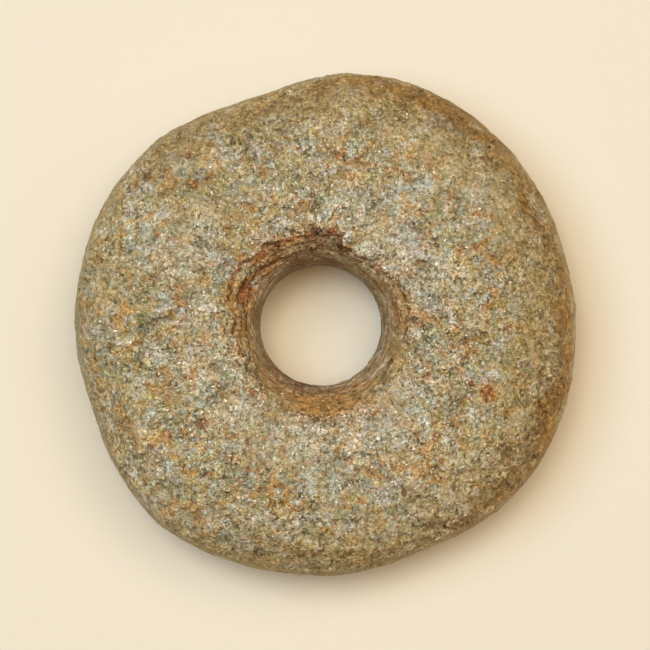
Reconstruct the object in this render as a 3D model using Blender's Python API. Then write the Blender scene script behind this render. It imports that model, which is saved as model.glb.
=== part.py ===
"""A stone spindle whorl, modelled as one solid.

The whorl is a thick ring of pecked and ground stone. Its bore was sunk from both faces, so
it is an hourglass: narrowest half-way through, flaring to a chipped mouth on the upper face
and a plainer one below. Metres, +Z up. The whorl lies on the ground flat of its underside at
Z = 0, with the middle of its outline over the origin.
"""

import math
from collections import namedtuple

import bpy
import numpy as np

NAME = "spindle_whorl"

# A bell-shaped rise at a bearing round the ring, or a flat where the rise is negative.
# Bearings run counter-clockwise from +X, and bearings and spreads are in degrees.
Swell = namedtuple("Swell", "bearing rise spread")

# A bell-shaped hollow in a face, at a bearing and a distance from the bore's axis.
Dent = namedtuple("Dent", "bearing distance depth spread")

# One face of the ring: +1 is the upper face and -1 the lower one.
Face = namedtuple("Face", "side crest_height flare mouth_swells lip_rounding dents")

# The ring's own sizes
DIAMETER = 0.0441
THICKNESS = 0.0176
GROUND_DEPTH = 0.0003  # how much of the underside was ground away to a flat
SHOULDER_WIDTH = 0.0092  # mean way from the outline in to the highest ring of a face
SHOULDER_SKEW = 0.0010  # how much longer that way is on the gently rounded side
SHOULDER_SKEW_BEARING = -15
SHOULDER_FULLNESS = 2.3  # 2 is an ellipse, and more is squarer
TOP_FALL = 0.0005  # how much lower the upper face stands on its thin side
TOP_FALL_BEARING = 300
CREST_SINK = 0.0004  # what a face loses in height from its crest in to the bore

# The bore
BORE_DIAMETER = 0.0106  # at its waist
BORE_OFFSET = (-0.00043, -0.00004)  # of its axis from the middle of the outline
BORE_CURVE = 1.9  # 1 is a straight cone, and more bells out towards the mouth
UPPER_FLARE = 0.0024  # from the waist out to the lip of the upper mouth
LOWER_FLARE = 0.0024
SOFT_LIP = 0.0022  # rounding of a worn lip
SHARP_LIP = 0.0005  # rounding of a freshly chipped lip
SHARP_LIP_BEARING = 98
SHARP_LIP_SPREAD = 66

# How far the outline swells or falls short of a circle
OUTLINE_SWELLS = (
    Swell(bearing=10, rise=-0.00018, spread=12),
    Swell(bearing=65, rise=0.00047, spread=28),
    Swell(bearing=108, rise=-0.00100, spread=18),
    Swell(bearing=153, rise=0.00018, spread=10),
    Swell(bearing=199, rise=-0.00038, spread=10),
    Swell(bearing=231, rise=0.00070, spread=17),
    Swell(bearing=292, rise=-0.00044, spread=14),
    Swell(bearing=327, rise=0.00033, spread=18),
)

# Where the upper mouth is chipped wider or stands narrower than its mean flare
MOUTH_CHIPS = (
    Swell(bearing=58, rise=-0.00060, spread=18),
    Swell(bearing=88, rise=0.00075, spread=9),
    Swell(bearing=135, rise=0.00105, spread=27),
    Swell(bearing=197, rise=-0.00045, spread=16),
    Swell(bearing=270, rise=0.00020, spread=20),
)

# Broad hollows left by the pecking
UPPER_DENTS = (
    Dent(bearing=112, distance=0.0190, depth=0.00060, spread=0.0050),
    Dent(bearing=30, distance=0.0140, depth=0.00025, spread=0.0045),
    Dent(bearing=200, distance=0.0150, depth=0.00030, spread=0.0050),
    Dent(bearing=292, distance=0.0175, depth=0.00040, spread=0.0050),
    Dent(bearing=350, distance=0.0185, depth=0.00035, spread=0.0040),
)
LOWER_DENTS = (
    Dent(bearing=75, distance=0.0165, depth=0.00040, spread=0.0050),
    Dent(bearing=185, distance=0.0175, depth=0.00045, spread=0.0060),
    Dent(bearing=310, distance=0.0180, depth=0.00040, spread=0.0050),
)

# The facets of the ring
BEARINGS = 96
SECTION_POINTS = 36  # round one section of the ring
PROFILE_SAMPLES = 400  # along one half section before its points are spaced out
LIP_DETAIL = 1.2  # how much closer together the points stand at a lip
LIP_ZONE = 0.0016

# The stone's finish
STONE_COLOUR = (0.391, 0.314, 0.175, 1.0)
STONE_ROUGHNESS = 0.85
SHARP_EDGE_ANGLE = math.radians(50)


def bell(offset, spread):
    """A smooth bump that is 1 where the offset is 0."""
    return np.exp(-((offset / spread) ** 2))


def turn_between(bearing, other):
    """The shorter turn between two bearings, in degrees."""
    return (bearing - other + 180) % 360 - 180


def swell_at(bearing, swells):
    """The sum of the swells at a bearing."""
    return sum(s.rise * bell(turn_between(bearing, s.bearing), s.spread) for s in swells)


def outline_radius(bearing):
    """From the middle of the outline to its edge."""
    return DIAMETER / 2 + swell_at(bearing, OUTLINE_SWELLS)


def shoulder_width(bearing):
    """From the outline in to the highest ring of a face."""
    skew = math.cos(math.radians(bearing - SHOULDER_SKEW_BEARING))
    return SHOULDER_WIDTH + SHOULDER_SKEW * skew


def upper_crest_height(bearing):
    """The upper face stands at its full height opposite its thin side."""
    fall = (1 + math.cos(math.radians(bearing - TOP_FALL_BEARING))) / 2
    return THICKNESS / 2 - TOP_FALL * fall


def lower_crest_height(bearing):
    """The lower face reached this far before it was ground flat."""
    return THICKNESS / 2 + GROUND_DEPTH


def upper_lip_rounding(bearing):
    """The upper mouth is chipped sharp on one side and worn soft on the other."""
    sharpness = bell(turn_between(bearing, SHARP_LIP_BEARING), SHARP_LIP_SPREAD)
    return SOFT_LIP + (SHARP_LIP - SOFT_LIP) * sharpness


def lower_lip_rounding(bearing):
    """The lower mouth is worn soft all the way round."""
    return SOFT_LIP


UPPER_FACE = Face(
    side=1,
    crest_height=upper_crest_height,
    flare=UPPER_FLARE,
    mouth_swells=MOUTH_CHIPS,
    lip_rounding=upper_lip_rounding,
    dents=UPPER_DENTS,
)
LOWER_FACE = Face(
    side=-1,
    crest_height=lower_crest_height,
    flare=LOWER_FLARE,
    mouth_swells=(),
    lip_rounding=lower_lip_rounding,
    dents=LOWER_DENTS,
)


def face_height(distance, bearing, face):
    """Height of a face over the mid-plane, at distances from the bore's axis."""
    width = shoulder_width(bearing)
    crest = outline_radius(bearing) - width
    outward = np.clip((distance - crest) / width, 0, 1)
    inward = np.clip((crest - distance) / (crest - BORE_DIAMETER / 2), 0, 1)
    shoulder = (1 - outward**SHOULDER_FULLNESS) ** (1 / SHOULDER_FULLNESS)
    return face.crest_height(bearing) * shoulder - CREST_SINK * inward**2


def bore_height(distance, bearing, face):
    """Height over the mid-plane that the bore's wall has reached at these distances."""
    flare = face.flare + swell_at(bearing, face.mouth_swells)
    spread = np.clip((distance - BORE_DIAMETER / 2) / flare, 0, None)
    return face.crest_height(bearing) * spread ** (1 / BORE_CURVE)


def smooth_min(first, second, rounding):
    """The lower of two heights, rounded over where they cross."""
    share = np.clip(0.5 + 0.5 * (second - first) / rounding, 0, 1)
    return second + (first - second) * share - rounding * share * (1 - share)


def half_section(bearing, face, shares):
    """Distances and heights of a section's points, from its outline (0) to the waist (1)."""
    outline = outline_radius(bearing)
    waist = BORE_DIAMETER / 2
    flare = face.flare + swell_at(bearing, face.mouth_swells)
    sweep = np.linspace(0, math.pi, PROFILE_SAMPLES)
    distance = waist + (outline - waist) * (1 + np.cos(sweep)) / 2
    height = smooth_min(
        face_height(distance, bearing, face),
        bore_height(distance, bearing, face),
        face.lip_rounding(bearing),
    )
    steps = np.hypot(np.diff(distance), np.diff(height))
    detail = 1 + LIP_DETAIL * bell(distance[1:] - waist - flare, LIP_ZONE)
    length = np.concatenate(([0], np.cumsum(steps * detail)))
    spaced = shares * length[-1]
    return np.interp(spaced, length, distance), np.interp(spaced, length, height)


def centre_line(distance, outline):
    """The middle of the ring's circles moves from the bore's axis to the outline's middle."""
    waist = BORE_DIAMETER / 2
    inner_share = 1 - (distance - waist) / (outline - waist)
    return BORE_OFFSET[0] * inner_share, BORE_OFFSET[1] * inner_share


def shape_sections(points):
    """Moves a torus's vertices onto the whorl's sections."""
    bearings = np.degrees(np.arctan2(points[:, 1], points[:, 0]))
    reach = np.hypot(points[:, 0], points[:, 1])
    turns = np.arctan2(points[:, 2], reach - 1)
    columns = np.round(bearings * BEARINGS / 360).astype(int) % BEARINGS
    for column in range(BEARINGS):
        bearing = column * 360 / BEARINGS
        heading = math.radians(bearing)
        for face in (UPPER_FACE, LOWER_FACE):
            above = turns >= 0 if face.side > 0 else turns < 0
            here = np.flatnonzero((columns == column) & above)
            shares = np.abs(turns[here]) / math.pi
            distance, height = half_section(bearing, face, shares)
            middle_x, middle_y = centre_line(distance, outline_radius(bearing))
            points[here, 0] = middle_x + distance * math.cos(heading)
            points[here, 1] = middle_y + distance * math.sin(heading)
            points[here, 2] = face.side * height


def press_dents(points, normals):
    """Presses the broad hollows into both faces."""
    for face in (UPPER_FACE, LOWER_FACE):
        for dent in face.dents:
            heading = math.radians(dent.bearing)
            centre = (
                dent.distance * math.cos(heading),
                dent.distance * math.sin(heading),
                face.side * face_height(dent.distance, dent.bearing, face),
            )
            offset = np.linalg.norm(points - np.array(centre), axis=1)
            points -= normals * (dent.depth * bell(offset, dent.spread))[:, None]


def grind_and_place(points):
    """Grinds the underside flat, sets it on the ground and centres the outline."""
    ground = -THICKNESS / 2
    points[:, 2] = np.maximum(points[:, 2], ground) - ground
    middle = (points.min(axis=0) + points.max(axis=0)) / 2
    points[:, :2] -= middle[:2]


def vertex_vectors(mesh, attribute):
    """A three-number attribute of every vertex, as rows."""
    values = np.empty(len(mesh.vertices) * 3)
    mesh.vertices.foreach_get(attribute, values)
    return values.reshape(-1, 3)


def stone_material():
    """Greyish brown, granular and dull."""
    material = bpy.data.materials.new("whorl_stone")
    material.use_nodes = True
    shader = material.node_tree.nodes["Principled BSDF"]
    shader.inputs["Base Color"].default_value = STONE_COLOUR
    shader.inputs["Roughness"].default_value = STONE_ROUGHNESS
    shader.inputs["Metallic"].default_value = 0.0
    material.diffuse_color = STONE_COLOUR
    return material


def build_whorl(collection):
    """Shapes the whorl from a torus and links it to the collection."""
    bpy.ops.mesh.primitive_torus_add(
        major_segments=BEARINGS,
        minor_segments=SECTION_POINTS,
        major_radius=1.0,
        minor_radius=0.5,
    )
    whorl = bpy.context.object
    whorl.name = NAME
    mesh = whorl.data
    mesh.name = NAME
    points = vertex_vectors(mesh, "co")
    shape_sections(points)
    mesh.vertices.foreach_set("co", points.ravel())
    mesh.update()
    press_dents(points, vertex_vectors(mesh, "normal"))
    grind_and_place(points)
    mesh.vertices.foreach_set("co", points.ravel())
    mesh.update()
    mesh.shade_smooth()
    mesh.set_sharp_from_angle(angle=SHARP_EDGE_ANGLE)
    mesh.materials.append(stone_material())
    for owner in whorl.users_collection:
        owner.objects.unlink(whorl)
    collection.objects.link(whorl)
    return whorl


def main():
    for old in list(bpy.data.objects):
        bpy.data.objects.remove(old, do_unlink=True)
    collection = bpy.data.collections.new("stone_spindle_whorl")
    bpy.context.scene.collection.children.link(collection)
    build_whorl(collection)


main()
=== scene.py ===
"""The looks of a stone spindle whorl that lies on a pale table, seen from straight above.

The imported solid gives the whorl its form. The stone's skin is a fine closed grid read from
that solid, pecked and chipped by a geometry node tree, and small closed crystals sit in it:
mica flakes, quartz grains and rusty grains. Metres, +Z up, with the top of the picture at +Y.
"""

import logging
import math
from abc import ABC, abstractmethod
from dataclasses import dataclass, field
from enum import Enum
from functools import cached_property
from typing import Union

import bpy
import numpy as np
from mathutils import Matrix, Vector
from mathutils.bvhtree import BVHTree


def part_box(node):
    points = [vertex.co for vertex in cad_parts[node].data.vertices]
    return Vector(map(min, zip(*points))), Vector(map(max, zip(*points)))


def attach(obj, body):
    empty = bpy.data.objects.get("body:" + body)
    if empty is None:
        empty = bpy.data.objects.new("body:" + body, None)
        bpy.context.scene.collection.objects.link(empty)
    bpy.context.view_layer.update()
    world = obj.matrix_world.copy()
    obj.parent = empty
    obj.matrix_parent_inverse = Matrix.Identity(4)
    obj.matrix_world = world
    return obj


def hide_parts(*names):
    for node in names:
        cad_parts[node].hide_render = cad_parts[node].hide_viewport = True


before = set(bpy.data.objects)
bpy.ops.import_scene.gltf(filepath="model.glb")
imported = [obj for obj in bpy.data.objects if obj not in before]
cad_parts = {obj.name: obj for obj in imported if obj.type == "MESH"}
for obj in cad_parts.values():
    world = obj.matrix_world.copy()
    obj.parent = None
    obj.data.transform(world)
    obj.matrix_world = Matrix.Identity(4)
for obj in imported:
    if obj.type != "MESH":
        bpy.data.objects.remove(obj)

LOG = logging.getLogger("whorl")
NODE = "spindle_whorl"
BODY = "root"
MM = 0.001

# The calm and rough zones of the stone's face, which its relief and its finish share
ZONE_SIZE = 5.5 * MM
ZONE_RISE = (0.36, 0.64)
# The heights between which marks on the upper face fade in, as shares of the stone's
MARK_RISE = (0.40, 0.50)
# How flat the middle of such a mark is
MARK_POWER = 1.5
# The middle of a texture's colours
MID_COLOUR = (0.5, 0.5, 0.5)

Socket = bpy.types.NodeSocket
Feed = Union["Value", float, int, bool, str, tuple, bpy.types.Material]
# Where a rise starts and where it ends
Span = tuple[float, float]
# Bearings in degrees, each with its value
Round = tuple[tuple[float, float], ...]


class Tint(Enum):
    """Colours of the schist's grains, its stains and the table, as sRGB bytes."""

    SNOW = (244, 238, 218)
    CREAM = (226, 212, 176)
    PALE_GREY = (203, 194, 164)
    LILAC_GREY = (194, 177, 158)
    BLUE_GREY = (178, 188, 172)
    MOSS = (150, 150, 92)
    GREEN_GREY = (164, 151, 104)
    TAN = (187, 169, 121)
    OLIVE = (171, 147, 92)
    GOLDEN = (186, 152, 84)
    OCHRE = (192, 156, 82)
    ORANGE = (192, 134, 58)
    PATINA = (152, 113, 50)
    # Brown for the bore's wall, also laid on as painted shade on its top side
    WALL_BROWN = (136, 101, 62)
    BROWN = (122, 88, 50)
    RUST = (152, 87, 44)
    UMBER = (90, 68, 44)
    TABLE = (244, 232, 206)

    @property
    def rgba(self) -> tuple[float, float, float, float]:
        """The colour as the linear values that shaders use.

        Returns:
            Red, green, blue and full cover.
        """
        shares = (byte / 255 for byte in self.value)
        linear = (s / 12.92 if s <= 0.04045 else ((s + 0.055) / 1.055) ** 2.4 for s in shares)
        return (*linear, 1.0)


class Mask(Enum):
    """Names of the number fields that the stone's points carry."""

    INSET = "inset"
    BORE_WALL = "bore_wall"
    SIDE = "side"
    PATINA = "patina"
    OCHRE_STAIN = "ochre_stain"
    LEDGES = "ledges"
    SCARS = "scars"
    UNDERSIDE = "underside"
    STEP_EDGE = "step_edge"
    RELIEF = "relief"
    CRYSTALS = "crystals"
    PALE = "pale"
    OUTER = "outer"
    # A brown stain near the bore's waist, and painted shade on the wall's top side
    WALL_STAIN = "wall_stain"
    BROWN_SPOTS = "brown_spots"
    WORN = "worn"
    # Painted light and shade on the rim, the bore's wall and the steps' edges, and some lighter
    # patches
    LIGHT = "light"
    TONE = "tone"
    BROKEN = "broken"
    WAIST = "waist"


class Part(Enum):
    """How far off each pattern is read from its texture, so that no two lie alike."""

    GLITTER = 0.05
    BLUE_FLECKS = 0.11
    WASH = 0.19
    LILAC_FLECKS = 0.23
    CRACKS = 0.31
    OCHRE_FLECKS = 0.37
    CLOUDS = 0.43
    CLUMPS = 0.47
    ORANGE_FLECKS = 0.53
    ZONES = 0.57
    SPOTS = 0.61
    RUST_FLECKS = 0.71
    RAGGED_EDGES = 0.77
    MOSS_FLECKS = 0.83
    STAIN_PATCHES = 0.9


def bell(offset: np.ndarray, spread: float) -> np.ndarray:
    """A smooth bump that is 1 where the offset is 0."""
    return np.exp(-((offset / spread) ** 2))


def round_bell(bearing: np.ndarray, middle: float, spread: float) -> np.ndarray:
    """A smooth bump round the ring that is 1 at its middle bearing, in degrees."""
    return bell((bearing - middle + 180) % 360 - 180, spread)


def ease(value: np.ndarray, span: Span) -> np.ndarray:
    """Rises smoothly from 0 at the span's start to 1 at its end, which may be the lower one."""
    share = np.clip((value - span[0]) / (span[1] - span[0]), 0, 1)
    return share * share * (3 - 2 * share)


def by_bearing(table: Round, bearing: np.ndarray) -> np.ndarray:
    """Reads a table of values by bearing."""
    return np.interp(bearing, *zip(*table), period=360)


def blur_round(values: np.ndarray, spread: float, axis: int) -> np.ndarray:
    """Blurs numbers along a closed axis.

    Args:
        values: Numbers on a grid.
        spread: The blur's standard deviation, in steps of the grid.
        axis: The axis that closes on itself.

    Returns:
        The blurred numbers, in the same shape.
    """
    length = values.shape[axis]
    frequency = np.fft.rfftfreq(length) * 2 * math.pi
    weight = np.exp(-((frequency * spread) ** 2) / 2)
    shape = [1] * values.ndim
    shape[axis] = len(weight)
    spectrum = np.fft.rfft(values, axis=axis) * weight.reshape(shape)
    return np.fft.irfft(spectrum, n=length, axis=axis)


@dataclass(frozen=True)
class Value:
    """A node's output, which is added, multiplied and so on like a number."""

    graph: "NodeGraph"
    socket: Socket

    def __add__(self, other: Feed) -> "Value":
        """The sum of both."""
        return self.graph.math("ADD", self, other)

    def __sub__(self, other: Feed) -> "Value":
        """What is left when the other is taken off."""
        return self.graph.math("SUBTRACT", self, other)

    def __rsub__(self, other: float) -> "Value":
        """What is left of the other when this is taken off."""
        return self.graph.math("SUBTRACT", other, self)

    def __mul__(self, other: Feed) -> "Value":
        """The product of both."""
        return self.graph.math("MULTIPLY", self, other)

    def __truediv__(self, other: Feed) -> "Value":
        """This divided by the other."""
        return self.graph.math("DIVIDE", self, other)


@dataclass
class NodeGraph(ABC):
    """Adds nodes to a shader or geometry tree, each with its inputs fed in the same call."""

    tree: bpy.types.NodeTree

    @property
    @abstractmethod
    def place(self) -> Value:
        """The point's place on the object, in metres."""

    @abstractmethod
    def mask(self, mask: Mask) -> Value:
        """A number field of the mesh."""

    def add(self, kind: str, feeds: dict | None = None, **settings: object) -> bpy.types.Node:
        """Adds one node.

        Args:
            kind: The node's type name.
            feeds: What goes into its inputs, by name or number.
            **settings: The node's own properties.

        Returns:
            The new node.
        """
        node = self.tree.nodes.new(kind)
        for name, value in settings.items():
            setattr(node, name, value)
        for key, value in (feeds or {}).items():
            self.feed(node.inputs[key], value)
        return node

    def take(
        self, kind: str, feeds: dict | None = None, output: int | str = 0, **settings: object
    ) -> Value:
        """Adds one node and takes one of its outputs.

        Args:
            kind: The node's type name.
            feeds: What goes into its inputs, by name or number.
            output: The output, by name or number.
            **settings: The node's own properties.

        Returns:
            The output's value.
        """
        return Value(self, self.add(kind, feeds, **settings).outputs[output])

    def feed(self, socket: Socket, value: Feed) -> None:
        """Links an input to a node's output, or sets its value.

        Args:
            socket: The input.
            value: What goes into it.
        """
        if isinstance(value, Value):
            self.tree.links.new(value.socket, socket)
        else:
            socket.default_value = value

    def math(self, operation: str, *values: Feed, clamp: bool = False) -> Value:
        """Adds a Math node."""
        feeds = dict(enumerate(values))
        return self.take("ShaderNodeMath", feeds, operation=operation, use_clamp=clamp)

    def vector(self, operation: str, *values: Feed, output: str = "Vector") -> Value:
        """Adds a Vector Math node."""
        feeds = dict(enumerate(values))
        return self.take("ShaderNodeVectorMath", feeds, output, operation=operation)

    def scaled(self, vector: Value, scale: Feed) -> Value:
        """A vector made this many times as long."""
        return self.take("ShaderNodeVectorMath", {0: vector, "Scale": scale}, operation="SCALE")

    def rise(self, value: Value, span: Span) -> Value:
        """Rises smoothly from 0 to 1 as the value goes through the span."""
        feeds = {"Value": value, "From Min": span[0], "From Max": span[1]}
        return self.take("ShaderNodeMapRange", feeds, "Result", interpolation_type="SMOOTHSTEP")

    def across(self, share: Value, span: Span) -> Value:
        """Goes through the span as the share goes from 0 to 1."""
        return share * (span[1] - span[0]) + span[0]

    def noise(
        self, size: float, detail: float = 2.0, at: Value | None = None, **feeds: float
    ) -> Value:
        """Adds a Noise Texture.

        Args:
            size: About how large its lumps are.
            detail: How many finer layers it has.
            at: The place to read it at, if not the point's own.
            **feeds: Its other inputs.

        Returns:
            Its value, which is 0.5 on the whole.
        """
        inputs = {"Vector": at or self.place, "Scale": 1 / size, "Detail": detail}
        return self.take("ShaderNodeTexNoise", inputs | feeds)

    def cells(self, size: float, at: Value, **settings: object) -> bpy.types.Node:
        """Adds a Voronoi Texture whose cells are about this size."""
        return self.add("ShaderNodeTexVoronoi", {"Vector": at, "Scale": 1 / size}, **settings)

    def lot(self, cell: bpy.types.Node) -> Value:
        """A number between 0 and 1 that each cell draws for itself."""
        return self.take("ShaderNodeSeparateXYZ", {0: Value(self, cell.outputs["Color"])})

    def dots(self, size: float, edge: Span, chance: Span, at: Value) -> Value:
        """Round dots in some of the cells.

        Args:
            size: How far apart the cells are.
            edge: Where a dot fades out, in cells from its middle.
            chance: The lots from which on a cell has its dot.
            at: The place.

        Returns:
            1 in the dots and 0 between them.
        """
        cell = self.cells(size, at)
        near = 1.0 - self.rise(Value(self, cell.outputs["Distance"]), edge)
        return near * self.rise(self.lot(cell), chance)

    def facets(self, size: float, lean: Feed, at: Value) -> Value:
        """Flat facets that each lean their own way, with small steps between them.

        Args:
            size: How far apart the facets are.
            lean: How much they lean.
            at: The place.

        Returns:
            Their height, in metres.
        """
        cell = self.cells(size, at)
        offset = self.vector("SUBTRACT", at, Value(self, cell.outputs["Position"]))
        slope = self.vector("SUBTRACT", Value(self, cell.outputs["Color"]), MID_COLOUR)
        return self.vector("DOT_PRODUCT", offset, slope, output="Value") * lean

    def moved(self, part: Part) -> Value:
        """The place moved far off, so that a texture shows another part of itself."""
        return self.vector("ADD", self.place, (part.value, -part.value, 2 * part.value))

    def bent(self, size: float, reach: float, at: Value | None = None) -> Value:
        """Bends the place by noise, so that cells get crooked edges.

        Args:
            size: The size of the bends.
            reach: How far they reach, as a share of their size.
            at: The place to bend, if not the point's own.

        Returns:
            The bent place.
        """
        at = at or self.place
        feeds = {"Vector": at, "Scale": 1 / size, "Detail": 3.0}
        swerve = self.take("ShaderNodeTexNoise", feeds, "Color")
        swerve = self.vector("SUBTRACT", swerve, MID_COLOUR)
        return self.vector("ADD", at, self.scaled(swerve, 2 * reach * size))

    def rolled(self, axis: tuple[float, float], radius: float) -> Value:
        """The place rolled up round the bore, so that a texture turns into streaks round it.

        Args:
            axis: Where the bore's axis stands.
            radius: The radius that every ring shrinks to; the smaller, the longer the streaks.

        Returns:
            The rolled-up place.
        """
        offset = self.vector("SUBTRACT", self.place, (*axis, 0.0))
        level = self.vector("MULTIPLY", offset, (1.0, 1.0, 0.0))
        turned = self.scaled(self.vector("NORMALIZE", level), radius)
        reach = self.vector("LENGTH", level, output="Value")
        height = self.take("ShaderNodeSeparateXYZ", {0: self.place}, "Z")
        lift = self.take("ShaderNodeCombineXYZ", {"Z": reach + height})
        return self.vector("ADD", turned, lift)

    def zones(self, span: Span) -> Value:
        """Rough and calm zones of the stone's face.

        Args:
            span: The value in the calmest zones and the value in the roughest ones.

        Returns:
            The value, at its highest where the stone is known to be broken.
        """
        patch = self.rise(self.noise(ZONE_SIZE, at=self.moved(Part.ZONES)), ZONE_RISE)
        return self.across(self.math("MAXIMUM", patch, self.mask(Mask.BROKEN)), span)


@dataclass
class ShaderGraph(NodeGraph):
    """A material's nodes."""

    @cached_property
    def place(self) -> Value:
        """The point's place on the object, in metres."""
        return self.take("ShaderNodeTexCoord", output="Object")

    def mask(self, mask: Mask) -> Value:
        """A number field of the mesh."""
        return self.take("ShaderNodeAttribute", output="Fac", attribute_name=mask.value)

    def blend(self, share: Value, under: Feed, over: Feed) -> Value:
        """Blends two colours.

        Args:
            share: How much of the second colour shows.
            under: The first colour.
            over: The second colour.

        Returns:
            The blended colour.
        """
        node = self.add("ShaderNodeMix", data_type="RGBA")
        wanted = {"Factor_Float": share, "A_Color": under, "B_Color": over}
        for socket in node.inputs:
            if socket.identifier in wanted:
                self.feed(socket, wanted[socket.identifier])
        return Value(self, next(s for s in node.outputs if s.identifier == "Result_Color"))

    def ramp(self, factor: Value, stops: tuple[tuple[float, Tint], ...]) -> Value:
        """Adds a Color Ramp.

        Args:
            factor: The number that it turns into a colour.
            stops: Its colours, each with its place on the ramp.

        Returns:
            Its colour.
        """
        node = self.add("ShaderNodeValToRGB", {"Fac": factor})
        elements = node.color_ramp.elements
        while len(elements) < len(stops):
            elements.new(1.0)
        for element, (place, tint) in zip(elements, stops):
            element.position = place
            element.color = tint.rgba
        return Value(self, node.outputs["Color"])

    def paint(self, **feeds: Feed) -> None:
        """Feeds the Principled BSDF.

        Args:
            **feeds: What goes into its inputs, whose names have _ for each space.
        """
        shader = self.tree.nodes["Principled BSDF"]
        for name, value in feeds.items():
            self.feed(shader.inputs[name.replace("_", " ")], value)


@dataclass
class GeometryGraph(NodeGraph):
    """A geometry node tree with named inputs."""

    source: bpy.types.Node
    values: dict[str, float] = field(default_factory=dict)

    @classmethod
    def begin(cls, name: str) -> "GeometryGraph":
        """Makes a tree that takes and gives a geometry.

        Args:
            name: The tree's name.

        Returns:
            Its graph.
        """
        tree = bpy.data.node_groups.new(name, "GeometryNodeTree")
        for way in ("INPUT", "OUTPUT"):
            tree.interface.new_socket("Geometry", in_out=way, socket_type="NodeSocketGeometry")
        return cls(tree, tree.nodes.new("NodeGroupInput"))

    @cached_property
    def place(self) -> Value:
        """The point's place on the object, in metres."""
        return self.take("GeometryNodeInputPosition")

    @property
    def geometry(self) -> Value:
        """The geometry that the tree is given."""
        return Value(self, self.source.outputs["Geometry"])

    def mask(self, mask: Mask) -> Value:
        """A number field of the mesh."""
        return self.take("GeometryNodeInputNamedAttribute", {"Name": mask.value}, data_type="FLOAT")

    def ask(self, name: str, value: float) -> Value:
        """Adds a named input.

        Args:
            name: Its name.
            value: What it is set to when the tree runs.

        Returns:
            The input's value, to link from.
        """
        kind = "NodeSocketInt" if isinstance(value, int) else "NodeSocketFloat"
        socket = self.tree.interface.new_socket(name, in_out="INPUT", socket_type=kind)
        self.values[socket.identifier] = value
        return Value(self, self.source.outputs[name])

    def store(self, geometry: Value, mask: Mask, value: Value, domain: str = "POINT") -> Value:
        """Stores a number field on the geometry."""
        feeds = {"Geometry": geometry, "Name": mask.value, "Value": value}
        return self.take("GeometryNodeStoreNamedAttribute", feeds, domain=domain)

    def finish(self, geometry: Value, material: bpy.types.Material) -> None:
        """Ends the tree.

        Args:
            geometry: The geometry, whose instances are made real.
            material: The material that it gets.
        """
        real = self.take("GeometryNodeRealizeInstances", {"Geometry": geometry})
        feeds = {"Geometry": real, "Material": material}
        self.add("NodeGroupOutput", {"Geometry": self.take("GeometryNodeSetMaterial", feeds)})

    def apply_to(self, piece: bpy.types.Object) -> None:
        """Runs the tree on a piece and leaves it a plain mesh.

        Args:
            piece: The object whose mesh is worked on and replaced.
        """
        modifier = piece.modifiers.new(self.tree.name, "NODES")
        modifier.node_group = self.tree
        for identifier, value in self.values.items():
            modifier[identifier] = value
        depsgraph = bpy.context.evaluated_depsgraph_get()
        evaluated = piece.evaluated_get(depsgraph)
        mesh = bpy.data.meshes.new_from_object(
            evaluated, preserve_all_data_layers=True, depsgraph=depsgraph
        )
        piece.modifiers.clear()
        piece.data = mesh
        mesh.name = piece.name


def new_material(name: str) -> bpy.types.Material:
    """Makes a material that uses nodes.

    Args:
        name: Its name.

    Returns:
        The material.
    """
    material = bpy.data.materials.new(name)
    material.use_nodes = True
    return material


@dataclass(frozen=True)
class Fleck:
    """Small blots of one colour among the grains."""

    part: Part
    tint: Tint
    strength: float
    # Above 0 for rare flecks, below 0 for common ones
    rarity: float = 0.0


@dataclass(frozen=True)
class Stain:
    """A colour that a mask lays over the grains."""

    mask: Mask
    tint: Tint
    strength: float


@dataclass(frozen=True)
class RaggedStain:
    """A brown or rusty stain with a ragged edge."""

    mask: Mask
    # Where the stain is at its full strength; the higher, the smaller it is
    full: float
    strength: float
    rusty: bool = True


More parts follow.
